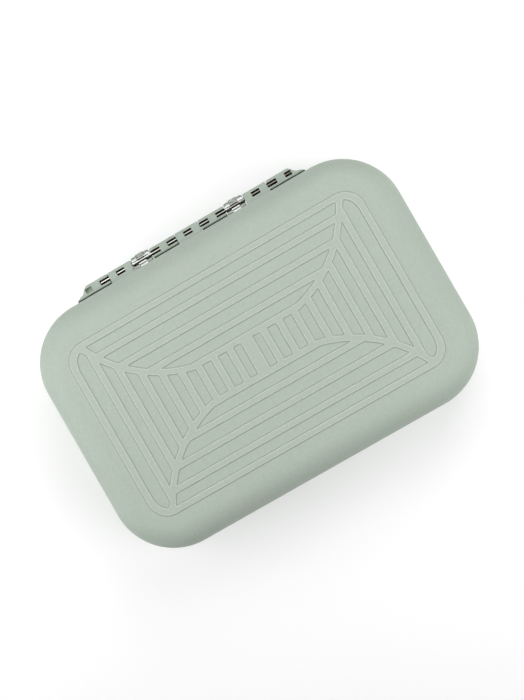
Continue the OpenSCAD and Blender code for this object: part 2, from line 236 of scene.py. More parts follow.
def with_round_corners(points, r, least=18):
    """The outline with a curve of about r at each corner sharper than least degrees."""
    result = []
    for i, here in enumerate(points):
        before = Vector(points[i - 1]) - Vector(here)
        after = Vector(points[(i + 1) % len(points)]) - Vector(here)
        bend = 180 - math.degrees(before.angle(after))
        if bend < least:
            result.append(tuple(here))
            continue
        start = Vector(here) + before.normalized() * min(r, CURVE_SHARE * before.length)
        end = Vector(here) + after.normalized() * min(r, CURVE_SHARE * after.length)
        for k in range(CURVE_STEPS + 1):
            t = k / CURVE_STEPS
            point = start * (1 - t) ** 2 + Vector(here) * 2 * t * (1 - t) + end * t ** 2
            result.append((point.x, point.y))
    return result


def grown(points, by):
    """The outline moved outwards by a small distance, or inwards where by is negative."""
    result = []
    for i, here in enumerate(points):
        a = (Vector(here) - Vector(points[i - 1])).normalized()
        b = (Vector(points[(i + 1) % len(points)]) - Vector(here)).normalized()
        normal_a, normal_b = Vector((a.y, -a.x)), Vector((b.y, -b.x))
        mitre = (normal_a + normal_b) / (1 + normal_a.dot(normal_b))
        result.append((here[0] + by * mitre.x, here[1] + by * mitre.y))
    return result


def inside(point, outline):
    """Whether a point lies inside an outline."""
    x, y = point
    odd = False
    for (x1, y1), (x2, y2) in zip(outline, outline[1:] + outline[:1]):
        if (y1 > y) != (y2 > y) and x < x1 + (y - y1) * (x2 - x1) / (y2 - y1):
            odd = not odd
    return odd


def quarter(steps):
    """Angles from 0 to a quarter turn, both included, in radians."""
    return [math.pi / 2 * i / steps for i in range(steps + 1)]


# ---- Faces: lists of (x, y, z) in millimetres ----

def level(outline, z):
    """An outline as a loop at height z."""
    return [(x, y, z) for x, y in outline]


def flat(loop):
    """The outline of a loop, without its height."""
    return [(x, y) for x, y, _ in loop]


def loft(loops, flip=False):
    """Quads between closed loops of as many points each."""
    faces = []
    for lower, upper in zip(loops, loops[1:]):
        for i in range(len(lower)):
            j = (i + 1) % len(lower)
            quad = [lower[i], lower[j], upper[j], upper[i]]
            faces.append(quad[::-1] if flip else quad)
    return faces


def filled(outline, z, holes=(), flip=False):
    """Flat faces that fill an outline and leave its holes open."""
    points, edges = [], []
    for loop in [outline, *holes]:
        first, count = len(points), len(loop)
        points += [Vector(p) for p in loop]
        edges += [(first + i, first + (i + 1) % count) for i in range(count)]
    only_inside, nearness = 1, 1e-7
    spots, _, triangles, *_ = delaunay_2d_cdt(points, edges, [], only_inside, nearness)
    faces = []
    for triangle in triangles:
        corners = [spots[i] for i in triangle]
        middle = (sum(c.x for c in corners) / 3, sum(c.y for c in corners) / 3)
        if any(inside(middle, hole) for hole in holes):
            continue
        faces.append([(c.x, c.y, z) for c in (corners[::-1] if flip else corners)])
    return faces


def slab(outline, low, high, edge):
    """Solid between two heights with both edges rounded."""
    rounding = [(edge * (1 - math.sin(t)), edge * (1 - math.cos(t))) for t in quarter(EDGE_STEPS)]
    loops = [level(grown(outline, -inset), low + up) for inset, up in rounding]
    loops += [level(grown(outline, -inset), high - down) for inset, down in reversed(rounding)]
    return loft(loops) + filled(flat(loops[-1]), high) + filled(flat(loops[0]), low, flip=True)


def turned(faces, matrix):
    """The faces moved by a matrix whose lengths are millimetres."""
    return [[tuple(matrix @ Vector(p)) for p in face] for face in faces]


def turned_over(faces, z):
    """The faces upside down, with their height 0 at z."""
    flip = Matrix.Translation((0, 0, z)) @ Matrix.Scale(-1, 4, (0, 0, 1))
    return [face[::-1] for face in turned(faces, flip)]


def lathed(profile, steps=LATHE_STEPS):
    """Solid of revolution about Z; the profile is (r, z) points that start and end on the axis."""
    faces = []
    for (r1, z1), (r2, z2) in zip(profile, profile[1:]):
        for i in range(steps):
            a, b = math.tau * i / steps, math.tau * (i + 1) / steps
            ring = [(r1 * math.cos(a), r1 * math.sin(a), z1), (r1 * math.cos(b), r1 * math.sin(b), z1),
                    (r2 * math.cos(b), r2 * math.sin(b), z2), (r2 * math.cos(a), r2 * math.sin(a), z2)]
            if r1 == 0:
                ring = [ring[0], ring[2], ring[3]]
            elif r2 == 0:
                ring = ring[:3]
            faces.append(ring)
    return faces


def both_ends(end, length):
    """A lathe profile whose two ends are alike, from the one at z = 0."""
    return end + [(r, length - z) for r, z in reversed(end)]


def box_faces(low, high):
    """A plain block, used to cut openings."""
    outline = [(low[0], low[1]), (high[0], low[1]), (high[0], high[1]), (low[0], high[1])]
    bottom, top = level(outline, low[2]), level(outline, high[2])
    return loft([bottom, top]) + [top, bottom[::-1]]


# ---- Objects ----

def mesh_object(name, faces):
    """One object from faces, with points that coincide joined."""
    places, points, indices = {}, [], []
    for face in faces:
        corner_ids = []
        for p in face:
            key = tuple(round(c, WELD) for c in p)
            if key not in places:
                places[key] = len(points)
                points.append([c * MM for c in p])
            if places[key] not in corner_ids:
                corner_ids.append(places[key])
        if len(corner_ids) > 2:
            indices.append(corner_ids)
    mesh = bpy.data.meshes.new(name)
    mesh.from_pydata(points, [], indices)
    mesh.validate()
    obj = bpy.data.objects.new(name, mesh)
    bpy.context.scene.collection.objects.link(obj)
    return obj


def apply_modifiers(obj):
    """Turns an object's modifiers into its mesh."""
    bpy.context.view_layer.update()
    shaped = obj.evaluated_get(bpy.context.evaluated_depsgraph_get())
    mesh = bpy.data.meshes.new_from_object(shaped)
    obj.modifiers.clear()
    obj.data = mesh


def combined(obj, other, operation):
    """Adds another solid to obj, cuts it away or keeps their overlap, and deletes it."""
    modifier = obj.modifiers.new(operation.lower(), "BOOLEAN")
    modifier.operation = operation
    modifier.solver = "EXACT"
    modifier.object = other
    apply_modifiers(obj)
    bpy.data.objects.remove(other)
    return obj


SHARP_ANGLE = 35
FLAT_WEIGHT = 60


def smoothed(obj):
    """Smooth shading that keeps flat faces flat."""
    obj.data.shade_smooth()
    obj.data.set_sharp_from_angle(angle=math.radians(SHARP_ANGLE))
    normals = obj.modifiers.new("normals", "WEIGHTED_NORMAL")
    normals.keep_sharp = True
    normals.weight = FLAT_WEIGHT
    return obj


def piece(obj, body, slot, material, *nodes):
    """Puts a finished piece on its body, with its material, in place of CAD nodes; slot is not used."""
    obj.data.materials.clear()
    obj.data.materials.append(material)
    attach(obj, body)
    if nodes:
        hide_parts(*nodes)
    return obj


# ---- Materials ----

class Nodes:
    def __init__(self, name):
        self.material = bpy.data.materials.new(name)
        self.material.use_nodes = True
        self.tree = self.material.node_tree
        self.shader = self.tree.nodes["Principled BSDF"]
        self.place = self.add("ShaderNodeTexCoord").outputs["Object"]

    def feed(self, socket, value):
        """Links another node's output to a socket, or writes a constant there."""
        if isinstance(value, bpy.types.NodeSocket):
            self.tree.links.new(value, socket)
        else:
            socket.default_value = value

    def add(self, kind, values=None, **settings):
        node = self.tree.nodes.new(kind)
        for key, value in settings.items():
            setattr(node, key, value)
        for key, value in (values or {}).items():
            self.feed(node.inputs[key], value)
        return node

    def axis(self, name):
        """One of the part's own coordinates, in metres."""
        return self.add("ShaderNodeSeparateXYZ", {"Vector": self.place}).outputs[name]

    def stretched(self, scale):
        """The coordinates scaled, so that a noise is drawn out along an axis."""
        return self.add("ShaderNodeMapping", {"Vector": self.place, "Scale": scale}).outputs["Vector"]

    def noise(self, scale, detail=2.0, place=None):
        values = {"Vector": place or self.place, "Scale": scale, "Detail": detail}
        return self.add("ShaderNodeTexNoise", values).outputs["Fac"]

    def calc(self, operation, a, b=0.0):
        """One step of arithmetic."""
        return self.add("ShaderNodeMath", {0: a, 1: b}, operation=operation).outputs[0]

    def both(self, a, b):
        """Where two masks overlap, or a mask times its strength."""
        return self.calc("MULTIPLY", a, b)

    def spread(self, value, low, high, to_low=0.0, to_high=1.0):
        """The value's range low to high, laid over to_low to to_high and held at its ends."""
        values = {"Value": value, "From Min": low, "From Max": high, "To Min": to_low, "To Max": to_high}
        return self.add("ShaderNodeMapRange", values).outputs["Result"]

    def ramp(self, value, low, high, to_high=1.0):
        """0 to to_high between two lengths in millimetres."""
        return self.spread(value, low * MM, high * MM, 0.0, to_high)

    def along(self, axis, origin, span):
        """0 to 1 along an axis, between the span's two distances from the origin in millimetres."""
        return self.ramp(self.axis(axis), origin + span[0], origin + span[1])

    def graded(self, noise, to_low=0.0, to_high=1.0):
        """A noise, which mostly lies between 0.3 and 0.7, laid over to_low to to_high."""
        return self.spread(noise, 0.3, 0.7, to_low, to_high)

    def blend(self, factor, a, b):
        """Colour a where the factor is 0 and colour b where it is 1."""
        sockets = {0: factor, 6: a, 7: b}
        return self.add("ShaderNodeMix", sockets, data_type="RGBA").outputs[2]

    def bump(self, height, depth, under=None):
        """Fine relief of the height, depth millimetres deep, on top of another one."""
        values = {"Height": height, "Strength": 1.0, "Distance": depth * MM}
        if under:
            values["Normal"] = under
        return self.add("ShaderNodeBump", values).outputs["Normal"]

    def finish(self, color, roughness, normal=None, **fixed):
        """Feeds the shader and gives the finished material."""
        self.feed(self.shader.inputs["Base Color"], color)
        self.feed(self.shader.inputs["Roughness"], roughness)
        if normal:
            self.feed(self.shader.inputs["Normal"], normal)
        for key, value in fixed.items():
            self.feed(self.shader.inputs[key.replace("_", " ")], value)
        return self.material


SAGE = (0.455, 0.525, 0.447, 1)
SAGE_COOL = (0.443, 0.517, 0.444, 1)
SAGE_RIB = (0.470, 0.536, 0.456, 1)
# painted highlight for the ribs' rounded edges
SAGE_EDGE_HIGHLIGHT = (0.66, 0.715, 0.62, 1)
SAGE_LIGHT = (0.52, 0.58, 0.5, 1)
SAGE_DARK = (0.38, 0.46, 0.39, 1)
# painted shade for the creases at the ribs' feet
CREASE_SHADE = (0.20, 0.235, 0.18, 1)
# dark brown of old grease; it also paints the shade round the pin and the shadow in the seam before the hinge
GREASE_AND_SHADE = (0.022, 0.019, 0.012, 1)

# how strongly they show at most: painted shade in the ribs' creases, painted highlight on the rib edges,
# light grain, dark mottle, grease with painted shade round the pin, painted shadow in the seam
CREASE_SHADE_SHARE = 0.7
EDGE_HIGHLIGHT_SHARE = 0.75
GRAIN_SHARE = 0.42
MOTTLE_SHARE = 0.46
GREASE_SHADE_SHARE = 0.96
SEAM_SHADOW_SHARE = 0.85

# how far the grease and painted shade round the pin reach along the hinge, and how far from its axis they
# begin and are full
GREASE_SHADE_LEFT = -EAR_X + 3.2
GREASE_SHADE_RIGHT = EAR_X + 0.1
SHELL_GREASE_SHADE = (1.93, 1.6)
CLEAR_GREASE_SHADE = (1.5, 1.35)

# the painted shadow in the seam before the hinge: where it begins and is full, from the back wall, from the
# ears' front and twice from the rim's height
SEAM_BEHIND = (0.02, 0.12)
SEAM_AHEAD = (0.3, 0)
SEAM_TOP = (0.9, -0.1)
SEAM_FOOT = (-1.5, -0.6)

# shares of the ribs' rise over which a tint, the painted shade in the creases at their feet and the painted
# highlight on their edges come in or go out
RIB_TINT = (0.5, 0.9)
CREASE_SHADE_IN = (0.003, 0.02)
CREASE_SHADE_OUT = (0.6, 0.3)
EDGE_HIGHLIGHT_IN = (0.55, 0.75)
EDGE_HIGHLIGHT_OUT = (1.0, 0.996)


def hinge_distance(m):
    """Distance from the hinge's axis, in metres, and a metre more past the reach of the grease and painted
    shade along it.
    """
    section = m.add("ShaderNodeCombineXYZ", {"Y": m.axis("Y"), "Z": m.axis("Z")}).outputs["Vector"]
    axis = (0, HINGE_Y * MM, RIM_Z * MM)
    away = m.add("ShaderNodeVectorMath", {0: section, 1: axis}, operation="DISTANCE").outputs["Value"]
    left = m.calc("LESS_THAN", m.axis("X"), GREASE_SHADE_LEFT * MM)
    right = m.calc("GREATER_THAN", m.axis("X"), GREASE_SHADE_RIGHT * MM)
    return m.calc("ADD", away, m.calc("MAXIMUM", left, right))


def seam_shadow(m):
    """Painted shadow: 1 at the bottom of the gap between the hinge and the lid, 0 away from it."""
    behind = m.along("Y", CASE_W / 2, SEAM_BEHIND)
    ahead = m.along("Y", HINGE_Y - EAR_CLEAR, SEAM_AHEAD)
    below = m.along("Z", RIM_Z, SEAM_TOP)
    above = m.along("Z", RIM_Z, SEAM_FOOT)
    return m.both(m.both(behind, ahead), m.both(below, above))


def rise(m, shares):
    """0 to 1 between two shares of the ribs' rise above the lid's flat top."""
    return m.along("Z", RIM_Z + LID_H, [share * RIB_RISE for share in shares])


def shell_plastic():
    """Matte sage-green moulding: fine spark grain, faint flow clouds, painted shade in the ribs' creases, a
    painted highlight on their edges, grease and painted shade round the pin, and painted shadow in the seam
    before the hinge.
    """
    m = Nodes("sage_plastic")
    clouds = m.spread(m.noise(scale=35, detail=3), 0.35, 0.65)
    color = m.blend(clouds, SAGE_COOL, SAGE)
    color = m.blend(rise(m, RIB_TINT), color, SAGE_RIB)
    # painted shade in the crease at each rib's foot
    crease_shade = m.both(rise(m, CREASE_SHADE_IN), rise(m, CREASE_SHADE_OUT))
    color = m.blend(m.both(crease_shade, CREASE_SHADE_SHARE), color, CREASE_SHADE)
    # painted highlight on each rib's rounded edge
    edge_highlight = m.both(rise(m, EDGE_HIGHLIGHT_IN), rise(m, EDGE_HIGHLIGHT_OUT))
    color = m.blend(m.both(edge_highlight, EDGE_HIGHLIGHT_SHARE), color, SAGE_EDGE_HIGHLIGHT)
    grain = m.noise(scale=3200, detail=3)
    color = m.blend(m.graded(grain, 0.0, GRAIN_SHARE), color, SAGE_LIGHT)
    mottle = m.noise(scale=1100)
    color = m.blend(m.graded(mottle, 0.0, MOTTLE_SHARE), color, SAGE_DARK)
    # grease and painted shade round the pin, in the knuckles' bores and windows
    color = m.blend(m.ramp(hinge_distance(m), *SHELL_GREASE_SHADE, GREASE_SHADE_SHARE), color, GREASE_AND_SHADE)
    # painted shadow in the gap between the hinge and the lid
    color = m.blend(m.both(seam_shadow(m), SEAM_SHADOW_SHARE), color, GREASE_AND_SHADE)
    coarse = m.bump(m.noise(scale=900), depth=0.012)
    fine = m.bump(grain, depth=0.02, under=coarse)
    roughness = m.graded(grain, 0.5, 0.62)
    return m.finish(color, roughness, fine, IOR=1.46)


CLEAR_COOL = (0.93, 0.965, 0.96, 1)
CLEAR_WARM = (0.97, 0.985, 0.98, 1)
# darker grey-green for the middle of each clear knuckle, behind the pin
CLEAR_MIDDLE = (0.36, 0.41, 0.335, 1)
# painted shade: the darker green seen through the clear arms
CLEAR_ARM_SHADE = (0.68, 0.72, 0.66, 1)
# painted shade: dark lines across the arms and web in front of the pin
CLEAR_SHADE_LINE = (0.19, 0.215, 0.16, 1)
CLEAR_DEPTH = (0.60, 0.66, 0.61, 1)
CLEAR_DENSITY = 25.0

# where the clear knuckles' tints and painted shade begin and are full: distances behind the hinge's axis,
# or in front of it where they are negative
MIDDLE_TINT_REAR = (0.95, 1.3)
FRONT = (-0.9, -1.4)
ARM_SHADE = (-HINGE_OFFSET - 1, -HINGE_OFFSET)
ARM_SHADE_LINE = (-2.65, -2.35)
WEB_SHADE_LINE = (-2.0, -1.8)


def knuckle_middle(m):
    """1 in the middle of each clear knuckle, between its arms."""
    off = m.calc("SUBTRACT", m.calc("ABSOLUTE", m.axis("X")), (LEAF_X + LEAF_KNUCKLE_W / 2) * MM)
    half = LEAF_KNUCKLE_W / 2 - LEAF_ARM_W
    return m.ramp(m.calc("ABSOLUTE", off), half + 0.15, half - 0.05)


def tinted_and_shaded_knuckles(m, color):
    """The clear knuckles' tints: darker grey-green middles behind the pin, painted shade on the arms, painted
    shade lines in front of the pin, grease and painted shade round it.
    """
    middle = knuckle_middle(m)
    front = m.along("Y", HINGE_Y, FRONT)
    arms = m.both(front, m.calc("SUBTRACT", 1.0, middle))
    web = m.both(front, middle)
    color = m.blend(m.both(middle, m.along("Y", HINGE_Y, MIDDLE_TINT_REAR)), color, CLEAR_MIDDLE)
    # painted shade on the arms, and painted shade lines across them and the web
    color = m.blend(m.both(arms, m.along("Y", HINGE_Y, ARM_SHADE)), color, CLEAR_ARM_SHADE)
    color = m.blend(m.both(arms, m.along("Y", HINGE_Y, ARM_SHADE_LINE)), color, CLEAR_SHADE_LINE)
    color = m.blend(m.both(web, m.along("Y", HINGE_Y, WEB_SHADE_LINE)), color, CLEAR_SHADE_LINE)
    # grease and painted shade round the pin
    greasy_shade = m.ramp(hinge_distance(m), *CLEAR_GREASE_SHADE, GREASE_SHADE_SHARE)
    return m.blend(m.both(middle, greasy_shade), color, GREASE_AND_SHADE)


def clear_plastic():
    """Clear moulded polycarbonate with hair scratches, and knuckles tinted with painted shade and grease."""
    m = Nodes("clear_plastic")
    scratches = m.noise(scale=700, place=m.stretched((1, 14, 1)))
    color = tinted_and_shaded_knuckles(m, m.blend(m.noise(scale=60), CLEAR_COOL, CLEAR_WARM))
    soak = m.add("ShaderNodeVolumeAbsorption", {"Color": CLEAR_DEPTH, "Density": CLEAR_DENSITY})
    m.tree.links.new(soak.outputs[0], m.tree.nodes["Material Output"].inputs["Volume"])
    roughness = m.graded(scratches, 0.03, 0.09)
    return m.finish(color, roughness, m.bump(scratches, depth=0.0015), IOR=1.58, Transmission_Weight=1.0)


STEEL_DULL = (0.66, 0.65, 0.62, 1)
STEEL_BRIGHT = (0.9, 0.89, 0.86, 1)
# the pin grows darker towards its right end, between the two places along it given below
STEEL_DARK_END = (0.13, 0.12, 0.10, 1)
DARKENING_START = -52
DARKENING_END = 46
# the painted shade on the pin's sides ends this far up its radius, and is full below the next
SIDE_SHADE_TOP = 0.985
SIDE_SHADE_FULL = 0.94


def drawn_steel():
    """Drawn rod, darkening from one end to the other, with painted shade on its sides below a thin top line.
    """
    m = Nodes("drawn_steel")
    lines = m.noise(scale=2600, place=m.stretched((0.02, 1, 1)))
    color = m.blend(lines, STEEL_DULL, STEEL_BRIGHT)
    # darker towards the pin's right end
    color = m.blend(m.ramp(m.axis("X"), DARKENING_START, DARKENING_END), color, STEEL_DARK_END)
    # painted shade on the pin's sides, below a thin top line that stays light
    side = m.ramp(m.axis("Z"), RIM_Z + SIDE_SHADE_TOP * PIN_R, RIM_Z + SIDE_SHADE_FULL * PIN_R)
    shade_smear = m.graded(m.noise(scale=500, detail=3), 0.8, 1.0)
    color = m.blend(m.both(side, shade_smear), color, GREASE_AND_SHADE)
    roughness = m.graded(lines, 0.16, 0.3)
    return m.finish(color, roughness, m.bump(lines, depth=0.006), Metallic=1.0)


RUBBER_DARK = (0.20, 0.235, 0.225, 1)
RUBBER_LIGHT = (0.27, 0.305, 0.29, 1)


def silicone():
    """Matte grey silicone, faintly mottled, with fine pores."""
    m = Nodes("silicone")
    mottle = m.graded(m.noise(scale=160, detail=4))
    color = m.blend(mottle, RUBBER_DARK, RUBBER_LIGHT)
    pores = m.noise(scale=2400, detail=3)
    roughness = m.graded(pores, 0.55, 0.75)
    return m.finish(color, roughness, m.bump(pores, depth=0.03), IOR=1.41)


FILM_SHADE = (0.62, 0.62, 0.58, 1)
FILM_WHITE = (0.78, 0.78, 0.74, 1)


def adhesive_film():
    """White double-sided film, slightly wrinkled."""
    m = Nodes("adhesive_film")
    wrinkles = m.noise(scale=220, detail=3)
    color = m.blend(wrinkles, FILM_SHADE, FILM_WHITE)
    roughness = m.graded(wrinkles, 0.35, 0.5)
    return m.finish(color, roughness, m.bump(wrinkles, depth=0.02))


NICKEL_WORN = (0.58, 0.56, 0.5, 1)
NICKEL_BRIGHT = (0.74, 0.72, 0.67, 1)


def nickel():
    """Plated magnet with a slightly worn face."""
    m = Nodes("nickel")
    wear = m.noise(scale=900, detail=4)
    color = m.blend(wear, NICKEL_WORN, NICKEL_BRIGHT)
    roughness = m.graded(wear, 0.12, 0.34)
    return m.finish(color, roughness, m.bump(wear, depth=0.004), Metallic=1.0)


# ---- Lid and base ----

def rolled_loops(h):
    """Loops up the outside of one half, from the shadow gap at its rim to the flat top."""
    loops = [(RIM_GAP_DEPTH, 0), (RIM_GAP_DEPTH, RIM_GAP)]
    loops += [(RIM_FILLET * (1 - math.sin(t)), RIM_GAP + RIM_FILLET * (1 - math.cos(t)))
              for t in quarter(EDGE_STEPS)]
    loops += [(EDGE_R * (1 - math.cos(t)), h - EDGE_R * (1 - math.sin(t))) for t in quarter(ROLL_STEPS)]
    return loops


def cavity_loops(h):
    """Loops down the inside of one half, from its ceiling's flat to just above the rim."""
    r = EDGE_R - WALL
    top = h - FLOOR_T
    turns = reversed(quarter(CAVITY_STEPS))
    return [(WALL + r * (1 - math.cos(t)), top - r * (1 - math.sin(t))) for t in turns]


def lid_rim():
    """Rebate for the base's lip, then the flat rim."""
    inset = WALL - LIP_T - LIP_CLEARANCE
    step = LIP_H + LIP_CLEARANCE
    soft = 0.12
    return [(WALL, step + soft), (WALL - soft, step), (inset, step), (inset, soft), (inset - soft, 0)]


def base_rim():
    """Lip on the inside of the rim, then the flat rim."""
    inset = WALL - LIP_T
    soft = 0.2
    lip = [(WALL, soft - LIP_H), (WALL - soft, -LIP_H), (inset + soft, -LIP_H), (inset, soft - LIP_H)]
    return lip + [(inset, 0)]


def shell_faces(h, rim, top_faces):
    """One half with its open side at z = 0 and its crown at z = h; loops are (inset, height)."""
    loops = [level(case_ring(inset), z) for inset, z in cavity_loops(h) + rim + rolled_loops(h)]
    ceiling, crown = flat(loops[0]), flat(loops[-1])
    return loft(loops) + filled(ceiling, h - FLOOR_T, flip=True) + top_faces(crown, h)


def steps_between(start, end):
    """Evenly spaced values from start to end, about a panel step apart."""
    count = max(2, round(abs(end - start) / PANEL_STEP))
    return [start + (end - start) * i / count for i in range(count + 1)]


def column_end(x):
    """Where a column panel ends at x: at the centre strip, a corner rib or the border."""
    outer = MITRE_R + MITRE_W / 2
    y = STRIP_Y - ROW_W / 2
    if x > MITRE_X:
        y = max(y, MITRE_Y - math.sqrt(outer ** 2 - (x - MITRE_X) ** 2))
    limit = RELIEF_Y - ROW_W
    beyond = x - (RELIEF_X - RIB_W - BORDER_INNER_R)
    if beyond > 0:
        limit -= BORDER_INNER_R - math.sqrt(max(0.0, BORDER_INNER_R ** 2 - beyond ** 2))
    return min(y, limit)


def column_panels():
    """Outlines of the sunk panels between the ribs that run front to back."""
    edges = [MIDDLE_RIB_W / 2]
    for k in range(RIB_COUNT):
        middle = FIRST_RIB_X + k * RIB_PITCH
        edges += [middle - RIB_W / 2, middle + RIB_W / 2]
    edges.append(RELIEF_X - RIB_W)
    for low, high in zip(edges[::2], edges[1::2]):
        half = [(x, column_end(x)) for x in steps_between(high, low)]
        right = half + [(x, -y) for x, y in reversed(half)]
        left = [(-x, y) for x, y in reversed(right)]
        yield with_round_corners(right, PANEL_CORNER)
        yield with_round_corners(left, PANEL_CORNER)


def row_panels():
    """Outlines of the sunk panels between the rows that run along the hinge."""
    inner = MITRE_R - MITRE_W / 2
    edges = [STRIP_Y + ROW_W / 2]
    for k in range(ROW_COUNT):
        middle = STRIP_Y + RIB_PITCH + k * ROW_PITCH
        edges += [middle - ROW_W / 2, middle + ROW_W / 2]
    edges.append(RELIEF_Y - ROW_W)
    for low, high in zip(edges[::2], edges[1::2]):
        half = [(MITRE_X + math.sqrt(inner ** 2 - (MITRE_Y - y) ** 2), y) for y in steps_between(low, high)]
        rear = half + [(-x, y) for x, y in reversed(half)]
        front = [(x, -y) for x, y in reversed(rear)]
        yield with_round_corners(rear, PANEL_CORNER)
        yield with_round_corners(front, PANEL_CORNER)


def fillet_loops(outline, top, sign):
    """Loops down a rib's soft side from its top; sign is 1 for a sunk panel, -1 outside the border."""
    half = RIB_RISE / 2
    near = RIB_FOOT_W / 2
    turns = quarter(CURVE_STEPS)
    sides = [(near + RIB_EDGE_W * (1 - math.sin(t)), half * (1 - math.cos(t))) for t in turns]
    sides += [(RIB_FOOT_W * math.cos(t) - near, half * (1 + math.sin(t))) for t in turns[1:]]
    return [level(grown(outline, sign * out), top - down) for out, down in sides]


def moved(outline):
    """An outline of the relief, which sits a little behind the middle of the lid."""
    return [(x, y + RELIEF_SHIFT_Y) for x, y in outline]


def relief_crown(outline, h):
    """The lid's top: a flat margin, the raised border and ribs, and the sunk panels."""
    top = h + RIB_RISE
    border = fillet_loops(moved(rounded_rect(RELIEF_X, RELIEF_Y, BORDER_R)), top, -1)
    faces = loft(border[::-1]) + filled(outline, h, [flat(border[-1])])
    holes = []
    for panel in [*column_panels(), *row_panels()]:
        sides = fillet_loops(moved(panel), top, 1)
        faces += loft(sides[::-1], flip=True) + filled(flat(sides[-1]), h)
        holes.append(flat(sides[0]))
    return faces + filled(flat(border[0]), top, holes)


def to_hinge(x):
    """Matrix that turns Z along the hinge and starts at x on its axis."""
    return Matrix.Translation((x, HINGE_Y, RIM_Z)) @ Matrix.Rotation(math.pi / 2, 4, "Y")


def along_x(x, y, z):
    """Matrix for an outline drawn as (y, z) about the given point and extruded along X from it."""
    return Matrix(((0, 0, 1, x), (1, 0, 0, y), (0, 1, 0, z), (0, 0, 0, 1)))


def bored(obj, x, length):
    """Drills the pin's bore through obj, from x along the hinge."""
    profile = both_ends([(0, 0), (BORE_R, 0)], length)
    rod = mesh_object("bore", turned(lathed(profile, BORE_STEPS), to_hinge(x)))
    return combined(obj, rod, "DIFFERENCE")


def knuckle_outline(side):
    """Section of a knuckle and its arm about the hinge axis; side is 1 on the lid, -1 on the base."""
    root = -(HINGE_OFFSET + ARM_ROOT)
    heel = -3.7
    top = KNUCKLE_R
    shoulder = 1.0
    corner = arc(KNUCKLE_R - shoulder, top - shoulder, shoulder, 15, 90, 6)
    if side > 0:
        section = [(root, 0.15), (-KNUCKLE_R * 0.98, 0.15)] + arc(0, 0, KNUCKLE_R, 190, 360, 18) + corner
        section += [(-0.9, top), (-1.9, top + 0.45), (-2.8, top + 1.15), (-3.45, top + 2.1)]
        return section + [(heel, ARM_H), (root, ARM_H)]
    brow = 0.4
    section = [(root, -ARM_H), (heel, -ARM_H), (-1.0, -KNUCKLE_R * 1.08)]
    section += arc(0, 0, KNUCKLE_R, 270, 360, 12) + corner + arc(-1.75, top - brow, brow, 90, 180, 4)
    return section + [(-2.15, 0.1), (-2.45, -0.25), (root, -0.25)]


def knuckle(x, length, side):
    """A moulded knuckle with its arm; its outer corners are round from above."""
    section = slab(knuckle_outline(side), 0, length, KNUCKLE_EDGE)
    body = mesh_object("knuckle", turned(section, along_x(x, HINGE_Y, RIM_Z)))
    front = CASE_W / 2 - ARM_ROOT - OVERLAP
    back = HINGE_Y + KNUCKLE_R
    r = KNUCKLE_CORNER
    plan = [(x, front), (x + length, front)]
    plan += arc(x + length - r, back - r, r, 0, 90, 8) + arc(x + r, back - r, r, 90, 180, 8)
    low, high = RIM_Z - 2 * ARM_H, RIM_Z + 2 * ARM_H
    walls = loft([level(plan, low), level(plan, high)]) + filled(plan, high) + filled(plan, low, flip=True)
    return combined(body, mesh_object("plan", walls), "INTERSECT")


def window(x, length, side):
    """Opening that shows the pin: side is 1 above it and -1 below it."""
    y = HINGE_Y + WINDOW_SHIFT
    low, high = (RIM_Z, RIM_Z + WINDOW_REACH) if side > 0 else (RIM_Z - WINDOW_REACH, RIM_Z)
    return box_faces((x, y - WINDOW_W / 2, low), (x + length, y + WINDOW_W / 2, high))


# the ear's rear edge: shares of its length, and distances behind the hinge's axis
EAR_SLANT = ((1.06, -2.6), (0.95, -1.85), (0.7, -1.15), (0.45, -0.75),
             (0.32, -0.1), (0.2, 0.75), (0.08, 1.45))


def ear(x):
    """Ear beside an end knuckle: it slants down to the case, and its upper half stands clear of the lid."""
    rear = [(EAR_L * share, y) for share, y in EAR_SLANT] + [(-0.3, 1.9), (-OVERLAP, KNUCKLE_R)]
    root = -(HINGE_OFFSET + ARM_ROOT)
    lower = [(-OVERLAP, root), (rear[0][0], root)] + rear
    upper = [(-OVERLAP, -EAR_CLEAR), (EAR_L * 0.98, -EAR_CLEAR)] + rear[1:]
    place = Matrix.Translation((x, HINGE_Y, RIM_Z))
    low_half = mesh_object("ear", turned(slab(lower, -KNUCKLE_R, EAR_STEP, EAR_EDGE), place))
    high_half = mesh_object("ear_top", turned(slab(upper, -OVERLAP, EAR_TOP, EAR_TOP_EDGE), place))
    return combined(low_half, high_half, "UNION")


def mirror_copy(obj):
    """A second object, mirrored in the case's middle."""
    mesh = obj.data.copy()
    mesh.transform(Matrix.Scale(-1, 4, (1, 0, 0)))
    mesh.flip_normals()
    copy = bpy.data.objects.new(obj.name, mesh)
    bpy.context.scene.collection.objects.link(copy)
    return copy


def notch_cutters(low, high):
    """Notches in the back wall for the leaf's arms."""
    half = LEAF_KNUCKLE_W / 2 + NOTCH_CLEARANCE
    front, back = INNER_W / 2 - OVERLAP, CASE_W / 2 + OVERLAP
    faces = []
    for s in (-1, 1):
        middle = s * (LEAF_X + LEAF_KNUCKLE_W / 2)
        faces += box_faces((middle - half, front, low), (middle + half, back, high))
    return mesh_object("notches", faces)


